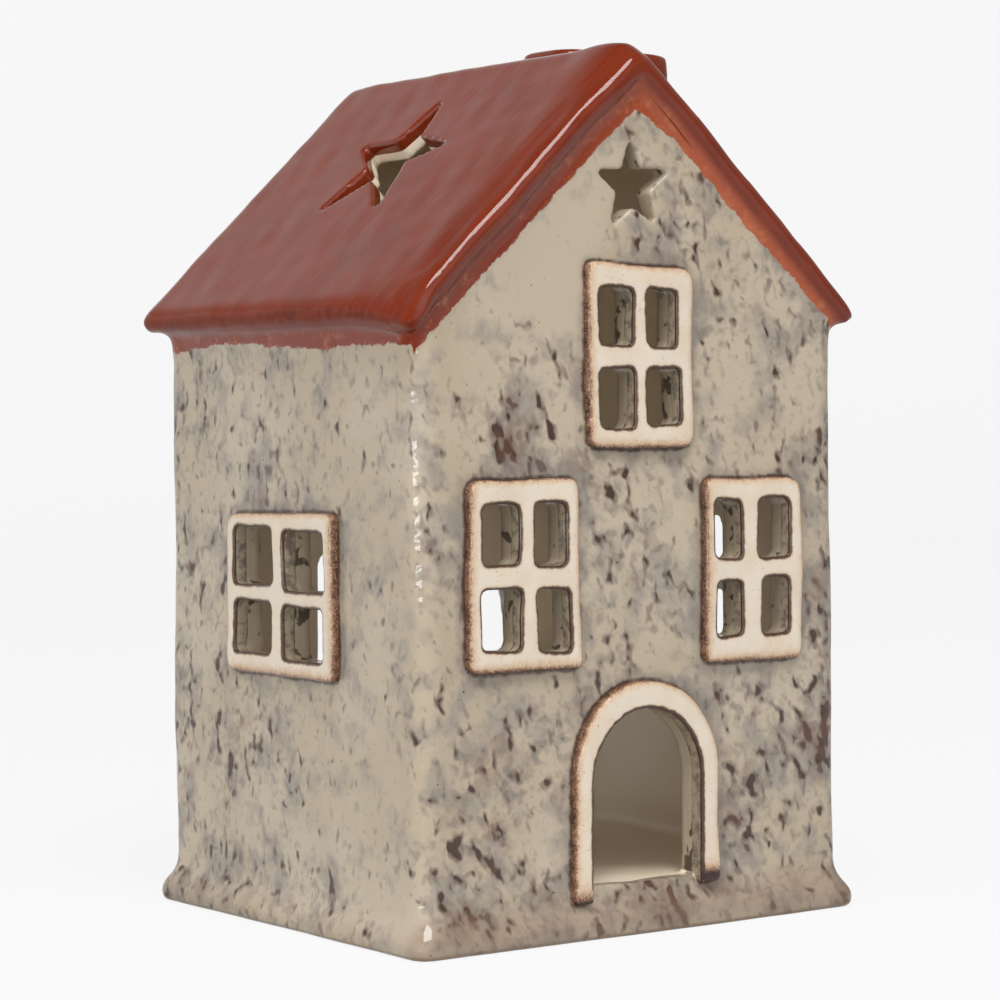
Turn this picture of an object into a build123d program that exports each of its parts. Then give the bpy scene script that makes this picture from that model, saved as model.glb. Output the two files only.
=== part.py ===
from build123d import *
from math import atan2, cos, pi, radians, sin, tan
import os

# A slab-built, glazed pottery house that holds one tealight.
# Millimetres, +Z up, front gable facing -Y. The origin is on the ground, under
# the middle of the roof.

# House walls
wall_width = 100.0
wall_depth = 93.0
wall_thickness = 5.0
wall_corner_radius = 3.5
eave_height = 115.8

# Base slab: its floor, its flared foot and the hollow underneath
floor_height = 9.7
floor_thickness = 5.2
foot_flare = 2.7
foot_bead_radius = 3.0
foot_ring_width = 8.0
foot_ring_corner_radius = 4.0

# Roof
roof_pitch_degrees = 43.6
roof_thickness = 5.0
eave_reach = 4.6
roof_overhang_front = 2.7
roof_overhang_back = 5.0
ridge_radius = 3.5
eave_tip_radius = 3.0
roof_end_radius = 1.6

# Chimney on the right-hand slope, with its flue
chimney_width = 28.0
chimney_depth = 18.5
chimney_wall = 5.0
chimney_corner_radius = 5.0
flue_corner_radius = 2.5
chimney_shoulder_radius = 2.2
chimney_from_ridge = 8.0
chimney_y = -6.0
chimney_above_ridge = 1.7

# Stars cut right through the slabs
star_tips = 5
roof_star_radius = 17.0
roof_star_waist_radius = 7.0
roof_star_below_ridge = 29.4
roof_star_y = 3.8
gable_star_radius = 7.8
gable_star_waist_radius = 3.8
gable_star_corner_radius = 0.7
gable_star_x = -0.7
gable_star_z = 142.1

# Windows: a raised frame, with four panes cut through frame and wall together
frame_relief = 1.8
frame_corner_radius = 3.0
frame_edge_radius = 0.8
pane_corner_radius = 1.6
front_window_width = 25.0
front_window_height = 35.0
front_stile = 3.0
front_mullion = 3.6
front_rail = 3.9
front_transom = 4.1
upper_window_x = -0.1
upper_window_z = 109.6
left_window_from_corner = 22.5
right_window_from_corner = 22.9
lower_windows_z = 68.6
side_window_width = 40.0
side_window_height = 32.2
side_stile = 3.5
side_mullion = 3.8
side_rail = 3.7
side_transom = 3.4
side_window_behind_mid = 0.5
side_window_z = 64.7

# Doorway in the front wall and large arch in the back wall
door_width = 26.2
door_height = 33.3
door_x = 1.7
surround_width = 4.6
surround_relief = 2.2
surround_edge_radius = 1.0
back_arch_width = 50.0
back_arch_height = 60.3
back_arch_left_radius = 4.0
back_arch_right_radius = 20.0
back_arch_x = 8.0

# Tealight that stands on the floor
cup_rim_diameter = 38.0
cup_rim_width = 0.8
cup_height = 15.0
cup_metal = 0.3
cup_base_radius = 1.5
wax_depth = 12.6
sustainer_diameter = 12.0
sustainer_metal = 0.4
sustainer_neck_diameter = 3.0
sustainer_neck_height = 3.6
wick_diameter = 1.4
wick_top = 19.0
tealight_behind_mid = 11.0

# How far a cutting tool runs past a face, and how near counts as touching
overrun = 2.0
touching = 0.001

# Places that follow from the sizes
pitch = radians(roof_pitch_degrees)
half_width = wall_width / 2
wall_mid_y = (roof_overhang_front - roof_overhang_back) / 2
front_y = wall_mid_y - wall_depth / 2
back_y = wall_mid_y + wall_depth / 2
roof_front_y = front_y - roof_overhang_front
roof_back_y = back_y + roof_overhang_back
inner_ridge_z = eave_height + half_width * tan(pitch)
outer_ridge_z = inner_ridge_z + roof_thickness / cos(pitch)
eave_tip_x = half_width + eave_reach
eave_tip_z = outer_ridge_z - eave_tip_x * tan(pitch)
eave_foot_x = eave_tip_x - roof_thickness * sin(pitch)
eave_foot_z = eave_tip_z - roof_thickness * cos(pitch)


def upright_plane(x, y, z, facing):
    """A drawing plane on an upright face: across is to the viewer's right, up is +Z."""
    across, outward = {
        "front": ((1, 0, 0), (0, -1, 0)),
        "back": ((-1, 0, 0), (0, 1, 0)),
        "left": ((0, -1, 0), (-1, 0, 0)),
        "right": ((0, 1, 0), (1, 0, 0)),
    }[facing]
    return Plane(origin=(x, y, z), x_dir=across, z_dir=outward)


def wall_cutter(plane, outline):
    """An outline made into a tool that goes right through the wall behind its plane."""
    return plane * Pos(0, 0, overrun) * extrude(outline, -wall_thickness - 2 * overrun)


def star_outline(tip_radius, waist_radius):
    """A star with one tip up, centred on the drawing plane."""
    points = []
    for corner in range(2 * star_tips):
        radius = waist_radius if corner % 2 else tip_radius
        angle = pi / 2 + corner * pi / star_tips
        points.append((radius * cos(angle), radius * sin(angle)))
    return make_face(Polyline(*points, close=True))


def arch_outline(width, height, across):
    """An opening that stands on the floor, with straight sides and a half-round head."""
    spring = floor_height + height - width / 2
    sides = Pos(across, (floor_height + spring) / 2) * Rectangle(width, spring - floor_height)
    return sides + Pos(across, spring) * Circle(width / 2)


def flat_arch_outline(width, height, low_radius, high_radius):
    """An opening that stands on the floor, with straight sides and a flat head.

    Its corner at the low end of across has the low radius, and the other one the high radius.
    """
    half = width / 2
    low_start = Vector(-half, height - low_radius)
    low_middle = Vector(low_radius * (1 - cos(pi / 4)) - half, height - low_radius * (1 - sin(pi / 4)))
    low_end = Vector(low_radius - half, height)
    high_start = Vector(half - high_radius, height)
    high_middle = Vector(half - high_radius * (1 - cos(pi / 4)), height - high_radius * (1 - sin(pi / 4)))
    high_end = Vector(half, height - high_radius)
    edges = [
        Line((-half, 0), low_start),
        ThreePointArc(low_start, low_middle, low_end),
        Line(low_end, high_start),
        ThreePointArc(high_start, high_middle, high_end),
        Line(high_end, (half, 0)),
        Line((half, 0), (-half, 0)),
    ]
    return Pos(0, floor_height) * make_face(edges)


def pane_outlines(width, height, stile, mullion, rail, transom):
    """The four rounded panes of a window, centred on the drawing plane."""
    pane_width = (width - 2 * stile - mullion) / 2
    pane_height = (height - 2 * rail - transom) / 2
    panes = []
    for side in (-1, 1):
        for level in (-1, 1):
            centre = Pos(side * (mullion + pane_width) / 2, level * (transom + pane_height) / 2)
            panes.append(centre * RectangleRounded(pane_width, pane_height, pane_corner_radius))
    return panes


front_panes = pane_outlines(
    front_window_width, front_window_height, front_stile, front_mullion, front_rail, front_transom
)
side_panes = pane_outlines(
    side_window_width, side_window_height, side_stile, side_mullion, side_rail, side_transom
)

# Each window is drawn on the outer face of its wall
side_window_y = wall_mid_y + side_window_behind_mid
left_window_x = left_window_from_corner - half_width
right_window_x = half_width - right_window_from_corner
upper_window = upright_plane(upper_window_x, front_y, upper_window_z, "front")
front_left_window = upright_plane(left_window_x, front_y, lower_windows_z, "front")
front_right_window = upright_plane(right_window_x, front_y, lower_windows_z, "front")
left_window = upright_plane(-half_width, side_window_y, side_window_z, "left")
right_window = upright_plane(half_width, side_window_y, side_window_z, "right")


def flare_section():
    """Section of the foot: a round bead on the ground, then a hollow sweep up to the wall.

    Across is outward from the wall's face and up is +Z. The two arcs share one tangent.
    """
    bead_out = foot_flare - foot_bead_radius
    rise = floor_height - foot_bead_radius
    sweep_radius = (bead_out**2 + rise**2 - foot_bead_radius**2) / (2 * foot_flare)
    meeting = atan2(rise, sweep_radius - bead_out)

    def on_bead(angle):
        return (bead_out + foot_bead_radius * cos(angle), foot_bead_radius + foot_bead_radius * sin(angle))

    def on_sweep(angle):
        return (sweep_radius - sweep_radius * cos(angle), floor_height - sweep_radius * sin(angle))

    ground = -pi / 2
    inside = -wall_corner_radius / 2
    bead = ThreePointArc(on_bead(ground), on_bead((ground + meeting) / 2), on_bead(meeting))
    hollow_sweep = ThreePointArc(on_bead(meeting), on_sweep(meeting / 2), on_sweep(0))
    back = Polyline(on_sweep(0), (inside, floor_height), (inside, 0), on_bead(ground))
    return make_face([bead, hollow_sweep, back])


def base_slab():
    """The floor, the foot ring it stands on, and the foot's flare swept round it."""
    plan = Pos(0, wall_mid_y) * RectangleRounded(wall_width, wall_depth, wall_corner_radius)
    path = plan.face().outer_wire()
    start = path.position_at(0)
    outward = path.tangent_at(0).cross(Vector(0, 0, 1))
    if outward.dot(start - plan.face().center()) < 0:
        outward = -outward
    across_path = Plane(origin=start, x_dir=outward, z_dir=outward.cross(Vector(0, 0, 1)))
    slab = extrude(plan, floor_height) + sweep(across_path * flare_section(), path=path)
    hollow = Pos(0, wall_mid_y) * RectangleRounded(
        wall_width - 2 * foot_ring_width, wall_depth - 2 * foot_ring_width, foot_ring_corner_radius
    )
    hollow_height = floor_height - floor_thickness
    return slab - Pos(0, 0, -overrun) * extrude(hollow, hollow_height + overrun)


def gable_blank(facing, face_y):
    """A gable wall before its openings are cut, with rounded upright corners."""
    outline = Polyline(
        (-half_width, floor_height),
        (half_width, floor_height),
        (half_width, eave_height),
        (0, inner_ridge_z),
        (-half_width, eave_height),
        close=True,
    )
    plane = upright_plane(0, face_y, 0, facing)
    wall = plane * extrude(make_face(outline), -wall_thickness)
    upright_edges = wall.edges().filter_by(Axis.Z)
    outer_corners = [edge for edge in upright_edges if abs(edge.center().Y - face_y) < touching]
    return fillet(outer_corners, wall_corner_radius)


def front_wall():
    """The front gable with its doorway, its star and the panes of its three windows."""
    face = upright_plane(0, front_y, 0, "front")
    star = star_outline(gable_star_radius, gable_star_waist_radius)
    star = Pos(gable_star_x, gable_star_z) * fillet(star.vertices(), gable_star_corner_radius)
    wall = gable_blank("front", front_y)
    wall -= wall_cutter(face, arch_outline(door_width, door_height, door_x))
    wall -= wall_cutter(face, star)
    for window in (upper_window, front_left_window, front_right_window):
        for pane in front_panes:
            wall -= wall_cutter(window, pane)
    return wall


def back_wall():
    """The back gable with the large arch that the tealight goes in by.

    Its across is −X, so the low end of the arch's outline is on the right.
    """
    face = upright_plane(back_arch_x, back_y, 0, "back")
    radii = (back_arch_right_radius, back_arch_left_radius)
    arch = flat_arch_outline(back_arch_width, back_arch_height, *radii)
    return gable_blank("back", back_y) - wall_cutter(face, arch)


def side_wall(side, window):
    """A side wall, fitted between the gables, its top bevelled to the roof's pitch."""
    outer = side * half_width
    inner = side * (half_width - wall_thickness)
    section = Polyline(
        (outer, floor_height),
        (outer, eave_height),
        (inner, eave_height + wall_thickness * tan(pitch)),
        (inner, floor_height),
        close=True,
    )
    front_end = upright_plane(0, front_y + wall_thickness, 0, "front")
    wall = front_end * extrude(make_face(section), 2 * wall_thickness - wall_depth)
    for pane in side_panes:
        wall -= wall_cutter(window, pane)
    return wall


def chimney_plan(inset, corner_radius):
    """The chimney's outline seen from above, drawn in by the inset."""
    centre = Pos(chimney_from_ridge + chimney_width / 2, chimney_y)
    return centre * RectangleRounded(chimney_width - 2 * inset, chimney_depth - 2 * inset, corner_radius)


def chimney_and_flue():
    """The chimney, cut to sit on the slope, and the flue as a tool for the roof slab."""
    height = outer_ridge_z + chimney_above_ridge - eave_height
    stack = extrude(chimney_plan(0, chimney_corner_radius), height)
    shoulder = stack.faces().sort_by(Axis.Z)[-1].edges()
    flue = extrude(chimney_plan(chimney_wall, flue_corner_radius), height + overrun)
    stack = Pos(0, 0, eave_height) * fillet(shoulder, chimney_shoulder_radius)
    flue = Pos(0, 0, eave_height) * flue
    under_slope = Polyline(
        (0, outer_ridge_z),
        (eave_tip_x, eave_tip_z),
        (eave_tip_x, floor_height),
        (0, floor_height),
        close=True,
    )
    house_end = upright_plane(0, roof_front_y, 0, "front")
    house = house_end * extrude(make_face(under_slope), roof_front_y - roof_back_y)
    return stack - house - flue, flue


def roof_slabs(flue):
    """Both roof slabs: one bent blank is rounded and cut, then parted at the ridge."""
    outline = make_face(
        Polyline(
            (-eave_foot_x, eave_foot_z),
            (-eave_tip_x, eave_tip_z),
            (0, outer_ridge_z),
            (eave_tip_x, eave_tip_z),
            (eave_foot_x, eave_foot_z),
            (0, inner_ridge_z),
            close=True,
        )
    )
    across_groups = outline.vertices().group_by(Axis.X)
    outline = fillet(across_groups[0] + across_groups[-1], eave_tip_radius)
    outline = fillet(outline.vertices().sort_by(Axis.Y)[-1], ridge_radius)
    front_end = upright_plane(0, roof_front_y, 0, "front")
    blank = front_end * extrude(outline, roof_front_y - roof_back_y)

    # Every edge of the two end faces is rounded but the two along the underside
    rims = []
    for end_y in (roof_front_y, roof_back_y):
        ridge_foot = Vertex(0, end_y, inner_ridge_z)
        for edge in blank.edges():
            lies_on_end = abs(edge.bounding_box().min.Y - end_y) < touching
            lies_on_end = lies_on_end and edge.bounding_box().size.Y < touching
            if lies_on_end and edge.distance_to(ridge_foot) > touching:
                rims.append(edge)
    blank = fillet(rims, roof_end_radius)

    star_plane = Plane(
        origin=(
            -roof_star_below_ridge * cos(pitch),
            roof_star_y,
            outer_ridge_z - roof_star_below_ridge * sin(pitch),
        ),
        x_dir=(0, -1, 0),
        z_dir=(-sin(pitch), 0, cos(pitch)),
    )
    star = extrude(star_outline(roof_star_radius, roof_star_waist_radius), -roof_thickness - 2 * overrun)
    blank = blank - star_plane * Pos(0, 0, overrun) * star - flue
    left = split(blank, bisect_by=Plane.YZ, keep=Keep.BOTTOM)
    right = split(blank, bisect_by=Plane.YZ, keep=Keep.TOP)
    return left, right


def raised_trim(plane, outline, relief, edge_radius):
    """A flat strip of clay laid on a wall, its outer edges softened."""
    strip = extrude(outline, relief)
    strip = fillet(strip.faces().sort_by(Axis.Z)[-1].edges(), edge_radius)
    return plane * strip


def window_frame(plane, width, height, panes):
    """The raised frame of one window, with the panes that are cut through it."""
    outline = RectangleRounded(width, height, frame_corner_radius) - panes
    return raised_trim(plane, outline, frame_relief, frame_edge_radius)


def door_surround():
    """The arched strip round the doorway, both legs standing on the foot's flare."""
    outline = arch_outline(door_width + 2 * surround_width, door_height + surround_width, door_x)
    outline -= arch_outline(door_width, door_height, door_x)
    face = upright_plane(0, front_y, 0, "front")
    return raised_trim(face, outline, surround_relief, surround_edge_radius)


def on_floor(solid):
    """A piece of the tealight, moved from the origin to its place behind the back arch."""
    return Pos(back_arch_x, wall_mid_y + tealight_behind_mid, floor_height) * solid


def round_bar(radius, low, high):
    """An upright round bar between two heights."""
    return Pos(0, 0, low) * extrude(Circle(radius), high - low)


def tealight_pieces():
    """The cup, the wax it holds, the wick and the metal foot that holds the wick upright."""
    cup_radius = cup_rim_diameter / 2 - cup_rim_width
    shell = round_bar(cup_radius, 0, cup_height)
    shell = fillet(shell.edges().sort_by(Axis.Z)[0], cup_base_radius)
    room = round_bar(cup_radius - cup_metal, cup_metal, cup_height + overrun)
    room = fillet(room.edges().sort_by(Axis.Z)[0], cup_base_radius - cup_metal)
    rim = round_bar(cup_rim_diameter / 2, cup_height - cup_metal, cup_height)
    cup = shell + rim - room

    plate_top = cup_metal + sustainer_metal
    sustainer = round_bar(sustainer_diameter / 2, cup_metal, plate_top)
    sustainer += round_bar(sustainer_neck_diameter / 2, plate_top, plate_top + sustainer_neck_height)
    wick = round_bar(wick_diameter / 2, plate_top, wick_top)
    sustainer -= wick
    wax_top = cup_metal + wax_depth
    wax = room & round_bar(cup_radius, 0, wax_top)
    wax = wax - sustainer - wick
    return {
        "tealight_cup": on_floor(cup),
        "tealight_wax": on_floor(wax),
        "tealight_wick": on_floor(wick),
        "wick_sustainer": on_floor(sustainer),
    }


chimney, flue_tool = chimney_and_flue()
left_roof, right_roof = roof_slabs(flue_tool)
pieces = {
    "base_slab": base_slab(),
    "front_wall": front_wall(),
    "back_wall": back_wall(),
    "left_wall": side_wall(-1, left_window),
    "right_wall": side_wall(1, right_window),
    "left_roof_slab": left_roof,
    "right_roof_slab": right_roof,
    "chimney": chimney,
    "upper_window_frame": window_frame(upper_window, front_window_width, front_window_height, front_panes),
    "front_left_window_frame": window_frame(
        front_left_window, front_window_width, front_window_height, front_panes
    ),
    "front_right_window_frame": window_frame(
        front_right_window, front_window_width, front_window_height, front_panes
    ),
    "left_window_frame": window_frame(left_window, side_window_width, side_window_height, side_panes),
    "right_window_frame": window_frame(right_window, side_window_width, side_window_height, side_panes),
    "door_surround": door_surround(),
}
pieces.update(tealight_pieces())

os.makedirs("parts", exist_ok=True)
for name, piece in pieces.items():
    export_step(piece.solid(), f"parts/{name}.step")
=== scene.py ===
from functools import partial
from math import cos, pi, radians, sin, sqrt, tan

import bmesh
import bpy
import numpy as np
from mathutils import Matrix, Vector, noise


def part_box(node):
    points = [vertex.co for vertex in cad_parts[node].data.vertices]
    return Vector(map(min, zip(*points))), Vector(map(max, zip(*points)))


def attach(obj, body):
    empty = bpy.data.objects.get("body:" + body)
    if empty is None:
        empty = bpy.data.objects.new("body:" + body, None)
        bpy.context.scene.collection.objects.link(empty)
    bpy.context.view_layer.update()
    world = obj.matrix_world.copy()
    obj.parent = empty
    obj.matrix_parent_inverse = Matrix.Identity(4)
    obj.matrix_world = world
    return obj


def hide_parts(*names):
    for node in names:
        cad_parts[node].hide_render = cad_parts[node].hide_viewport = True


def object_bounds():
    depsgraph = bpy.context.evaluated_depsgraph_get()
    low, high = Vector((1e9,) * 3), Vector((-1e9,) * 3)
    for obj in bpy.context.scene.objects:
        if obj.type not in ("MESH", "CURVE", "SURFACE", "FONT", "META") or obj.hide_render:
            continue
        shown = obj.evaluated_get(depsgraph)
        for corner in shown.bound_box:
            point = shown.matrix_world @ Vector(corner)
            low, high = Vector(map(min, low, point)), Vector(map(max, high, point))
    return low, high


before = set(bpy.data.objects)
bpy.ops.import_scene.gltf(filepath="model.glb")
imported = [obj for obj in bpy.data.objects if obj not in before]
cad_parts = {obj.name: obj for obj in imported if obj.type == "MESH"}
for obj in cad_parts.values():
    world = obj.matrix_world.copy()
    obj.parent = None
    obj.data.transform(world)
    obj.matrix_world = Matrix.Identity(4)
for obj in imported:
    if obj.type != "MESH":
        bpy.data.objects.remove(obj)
cad_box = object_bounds()

# Openings in the walls and in the roof
# They are cut with a knife, and the stars with a cutter, while the slabs are leather-hard.
# So no side is quite straight, no corner is sharp, and no two panes are the same size.
MM = 0.001
hand = np.random.default_rng(7)


def box_mm(node):
    """Lowest and highest corner of a node of the frame, in millimetres."""
    return [np.array(corner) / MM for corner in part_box(node)]


def soft_outline(corners, cuts, steps=4):
    """A closed outline whose corners are curves that begin the given cut before each corner."""
    count = len(corners)
    cuts = cuts if hasattr(cuts, "__len__") else [cuts] * count
    points = []
    for place, cut in enumerate(cuts):
        corner, before, after = (np.array(corners[i % count]) for i in (place, place - 1, place + 1))
        starts = []
        for neighbour in (before, after):
            length = np.linalg.norm(neighbour - corner)
            starts.append(corner + (neighbour - corner) / length * min(cut, 0.48 * length))
        for step in range(steps + 1):
            t = step / steps
            points.append((1 - t) ** 2 * starts[0] + 2 * t * (1 - t) * corner + t * t * starts[1])
    return np.array(points)


def knife_cut(outline, wander, spacing=1.2, reach=9.0):
    """The outline with a point about every spacing, each moved in or out as the knife wandered."""
    shift = Vector(hand.uniform(0, 100, 3))
    points = []
    for start, end in zip(outline, np.roll(outline, -1, axis=0)):
        length = np.linalg.norm(end - start)
        if length < spacing / 100:
            continue
        aside = np.array((end[1] - start[1], start[0] - end[0])) / length
        for step in range(max(1, round(length / spacing))):
            point = start + (end - start) * step / max(1, round(length / spacing))
            place = Vector((point[0] / reach, point[1] / reach, 0)) + shift
            points.append(point + aside * wander * noise.noise(place) * 2)
    return np.array(points)


def quad(left, low, right, high, slack):
    """Four corners of a cut pane, each off by up to the slack."""
    corners = np.array([(left, low), (right, low), (right, high), (left, high)])
    return corners + hand.uniform(-slack, slack, (4, 2))


# Each window: the wall that carries it, the corners of its frame from the lower left, and its
# panes as left, low, right and high, seen along the wall's axis
windows = {
    "upper_window_frame": (
        "front_wall",
        [(-12.5, 92.0), (12.4, 91.8), (12.4, 126.4), (-12.5, 127.5)],
        [
            (-10.1, 111.4, -2.0, 122.6),
            (1.1, 111.2, 8.5, 122.8),
            (-10.0, 95.9, -1.6, 107.2),
            (1.2, 96.1, 9.1, 107.4),
        ],
    ),
    "front_left_window_frame": (
        "front_wall",
        [(-40.2, 51.3), (-15.0, 51.2), (-15.1, 86.8), (-39.7, 86.5)],
        [
            (-37.4, 70.9, -29.1, 82.5),
            (-25.7, 70.5, -18.2, 82.4),
            (-37.4, 55.2, -28.9, 66.8),
            (-25.4, 54.6, -17.6, 66.7),
        ],
    ),
    "front_right_window_frame": (
        "front_wall",
        [(14.7, 50.6), (39.2, 50.4), (39.3, 85.8), (15.1, 86.2)],
        [
            (16.9, 70.7, 23.8, 82.2),
            (28.4, 70.5, 35.7, 82.1),
            (17.4, 55.5, 24.0, 66.3),
            (28.8, 55.5, 35.9, 66.7),
        ],
    ),
    "left_window_frame": (
        "left_wall",
        [(-20.4, 48.3), (19.2, 48.6), (19.3, 80.2), (-20.2, 80.7)],
        [
            (1.6, 66.2, 16.1, 77.6),
            (-17.6, 65.4, -2.3, 77.0),
            (2.1, 52.7, 16.0, 63.2),
            (-16.8, 52.1, -2.0, 62.2),
        ],
    ),
    "right_window_frame": (
        "right_wall",
        [(-20.2, 48.6), (19.4, 48.4), (19.1, 80.6), (-20.5, 80.4)],
        [
            (1.5, 65.8, 16.0, 77.2),
            (-17.2, 65.9, -2.6, 77.3),
            (1.9, 52.2, 16.1, 62.6),
            (-17.3, 52.4, -2.4, 62.4),
        ],
    ),
}
frame_outlines = {}
pane_outlines = {}
for name, (wall, frame_corners, panes) in windows.items():
    frame_outlines[name] = knife_cut(soft_outline(frame_corners, hand.uniform(1.8, 3.6, 4)), 0.22)
    pane_outlines[name] = [knife_cut(soft_outline(quad(*pane, 0.3), 1.6), 0.18) for pane in panes]

surround_low, surround_high = box_mm("door_surround")
floor_z = box_mm("front_wall")[0][2]
door_shift, surround_width = 1.5, 4.6
door_x = (surround_low[0] + surround_high[0]) / 2 - door_shift
door_half = (surround_high[0] - surround_low[0]) / 2 - surround_width
door_top = surround_high[2] - surround_width


def arch(centre, half, foot, top, steps=14):
    """The outline of an opening with straight sides and a half-round head."""
    spring = top - half
    turns = [pi * step / steps for step in range(steps + 1)]
    head = [(centre + half * cos(turn), spring + half * sin(turn)) for turn in turns]
    return np.array([(centre - half, foot), (centre + half, foot)] + head)


def star(across, up, tip, waist, turn, slips):
    """The corners of a star with one tip up, each tip slipped aside and up as it was cut."""
    corners = []
    for corner in range(10):
        radius = waist if corner % 2 else tip
        angle = pi / 2 + corner * pi / 5 + turn
        aside, rise = (0, 0) if corner % 2 else slips[corner // 2]
        corners.append((across + aside + radius * cos(angle), up + rise + radius * sin(angle)))
    return corners


doorway = knife_cut(arch(door_x, door_half, floor_z, door_top), 0.15)
surround_half = door_half + surround_width - 0.4
left_foot_z, right_foot_z = floor_z - 3.2, floor_z - 0.6
surround_outer = arch(door_x + 0.2, surround_half, left_foot_z, surround_high[2] + 0.5, 20)
surround_outer[1][1] = right_foot_z
surround_outline = knife_cut(surround_outer, 0.3, 1.2, 14)
back_corners = [(-17, floor_z), (33, floor_z), (33, 64), (-17, 70.8)]
back_arch = knife_cut(soft_outline(back_corners, [0.4, 0.4, 9, 4], 8), 0.3)
even = [(0, 0)] * 5
gable_star = knife_cut(soft_outline(star(-0.6, 142.1, 9.9, 4.0, 0.04, even), 0.4, 3), 0.12, 0.8)
slips = [(0, 0), (0, 0.5), (-0.7, -1.0), (1.5, -2.6), (1.9, -3.2)]
roof_star = knife_cut(soft_outline(star(0, 0, 17.4, 6.9, 0.03, slips), 0.35, 2), 0.2)

# The fired house body: floor slab, four walls, two roof slabs and the chimney
# Slabs of clay rolled 5 mm thick are joined with slip, and the joints are rubbed over with a
# wet finger. Firing makes one body of them, so the mesh is made whole and parted at the joints.
wall_low, wall_high = box_mm("front_wall")
front_y = wall_low[1]
back_y = box_mm("back_wall")[1][1]
half_width = wall_high[0]
slab = box_mm("left_wall")[1][0] - box_mm("left_wall")[0][0]
mid_y = (front_y + back_y) / 2
half_depth = (back_y - front_y) / 2
inner_ridge = wall_high[2]
pitch = radians(43.6)
roof_low, roof_high = box_mm("left_roof_slab")
outer_ridge = inner_ridge + slab / cos(pitch)
eave_reach = 4.6
eave_tip = half_width + eave_reach
chimney_low, chimney_high = box_mm("chimney")
axes = {
    "x": lambda u, v, w: (w, u, v),
    "y": lambda u, v, w: (u, w, v),
    "z": lambda u, v, w: (u, v, w),
}


def new_object(name, shape):
    """An object of the shape, with its faces turned outwards."""
    bmesh.ops.recalc_face_normals(shape, faces=shape.faces)
    mesh = bpy.data.meshes.new(name)
    shape.to_mesh(mesh)
    shape.free()
    made = bpy.data.objects.new(name, mesh)
    bpy.context.scene.collection.objects.link(made)
    return made


def through(name, rings):
    """A closed solid through rings of as many points each."""
    shape = bmesh.new()
    rows = [[shape.verts.new(point) for point in ring] for ring in rings]
    for low, high in zip(rows, rows[1:]):
        for i in range(len(low)):
            shape.faces.new((low[i - 1], low[i], high[i], high[i - 1]))
    shape.faces.new(rows[0])
    shape.faces.new(rows[-1])
    return new_object(name, shape)


def straight(name, outline, axis, near, far):
    """A straight-sided solid of the outline between two places on an axis."""
    return through(name, [[axes[axis](u, v, w) for u, v in outline] for w in (near, far)])


def apply_modifiers(made):
    """Gives the object the mesh that its modifiers make of it."""
    graph = bpy.context.evaluated_depsgraph_get()
    graph.update()
    mesh = bpy.data.meshes.new_from_object(made.evaluated_get(graph), depsgraph=graph)
    made.modifiers.clear()
    made.data = mesh


def combine(made, tools, operation):
    """Joins the object with the tools, cuts it by them or keeps what is within them."""
    for tool in tools:
        step = made.modifiers.new(tool.name, "BOOLEAN")
        step.solver = "MANIFOLD"
        step.operation = operation
        step.object = tool
    apply_modifiers(made)
    for tool in tools:
        bpy.data.objects.remove(tool)


def underside(x):
    """Height of the roof slabs' underside."""
    return inner_ridge - abs(x) * tan(pitch)


def plan(half_x, half_y, radius, grow=0.0):
    """A rounded rectangle round the middle of the house, seen from above."""
    x, y = half_x + grow, half_y + grow
    corners = [(-x, mid_y - y), (x, mid_y - y), (x, mid_y + y), (-x, mid_y + y)]
    return soft_outline(corners, radius, 6)


wall_side = [
    (-half_width, floor_z / 2),
    (half_width, floor_z / 2),
    (half_width, underside(half_width)),
    (0, inner_ridge + slab / 2),
    (-half_width, underside(half_width)),
]
wall_corner = 4.5
body = straight("clay_body", plan(half_width, half_depth, wall_corner), "z", 0.5, outer_ridge)
combine(body, [straight("gable_limit", wall_side, "y", front_y - slab, back_y + slab)], "INTERSECT")

# The flare at the foot: how far out it stands at each height
foot_out, foot_corner = 2.7, 5.0
foot_profile = [
    (0, 0.75),
    (0.35, 0.9),
    (1.0, 0.97),
    (2.2, 1.0),
    (3.2, 0.93),
    (4.4, 0.7),
    (5.8, 0.38),
    (7.6, 0.12),
    (floor_z + 1.5, 0.0),
]
foot_rings = []
for z, share in foot_profile:
    ring = plan(half_width, half_depth, foot_corner, foot_out * share)
    foot_rings.append([(x, y, z) for x, y in ring])
foot = through("foot", foot_rings)

# The roof's section: soft tips at the eaves, a cove under them and a soft ridge
cove_x, cove_z = half_width - 0.6, underside(half_width) - 4.0
tip_z = outer_ridge - eave_tip * tan(pitch)
foot_x, foot_z = eave_tip - slab * sin(pitch), tip_z - slab * cos(pitch)
roof_section = [
    (-foot_x, foot_z),
    (-eave_tip, tip_z),
    (0, outer_ridge),
    (eave_tip, tip_z),
    (foot_x, foot_z),
    (0, inner_ridge),
]
roof_section = soft_outline(roof_section, [3.2, 3.6, 3.4, 3.6, 3.2, 0.5], 6)
roof = straight("roof", roof_section, "y", roof_low[1], roof_high[1])
coves = []
for side in (-1, 1):
    cove = [
        (side * cove_x, cove_z),
        (side * (half_width + 0.2), cove_z),
        (side * (foot_x - 0.8), foot_z + 0.6),
        (side * cove_x, foot_z + 2),
    ]
    coves.append(straight("cove", cove, "y", front_y + 1.5, back_y - 1.5))

stack_middle = (chimney_low + chimney_high)[:2] / 2
stack_half = (chimney_high - chimney_low)[:2] / 2
stack_ways = np.array(((-1, -1), (1, -1), (1, 1), (-1, 1)))
stack_corners = [stack_middle + stack_half * way for way in stack_ways]
stack_corner, flue_corner = 6.0, 3.2
stack_outline = soft_outline(stack_corners, stack_corner, 6)
stack = straight("stack", stack_outline, "z", roof_low[2] + slab, chimney_high[2])
combine(body, [foot, roof, *coves, stack], "UNION")

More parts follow.
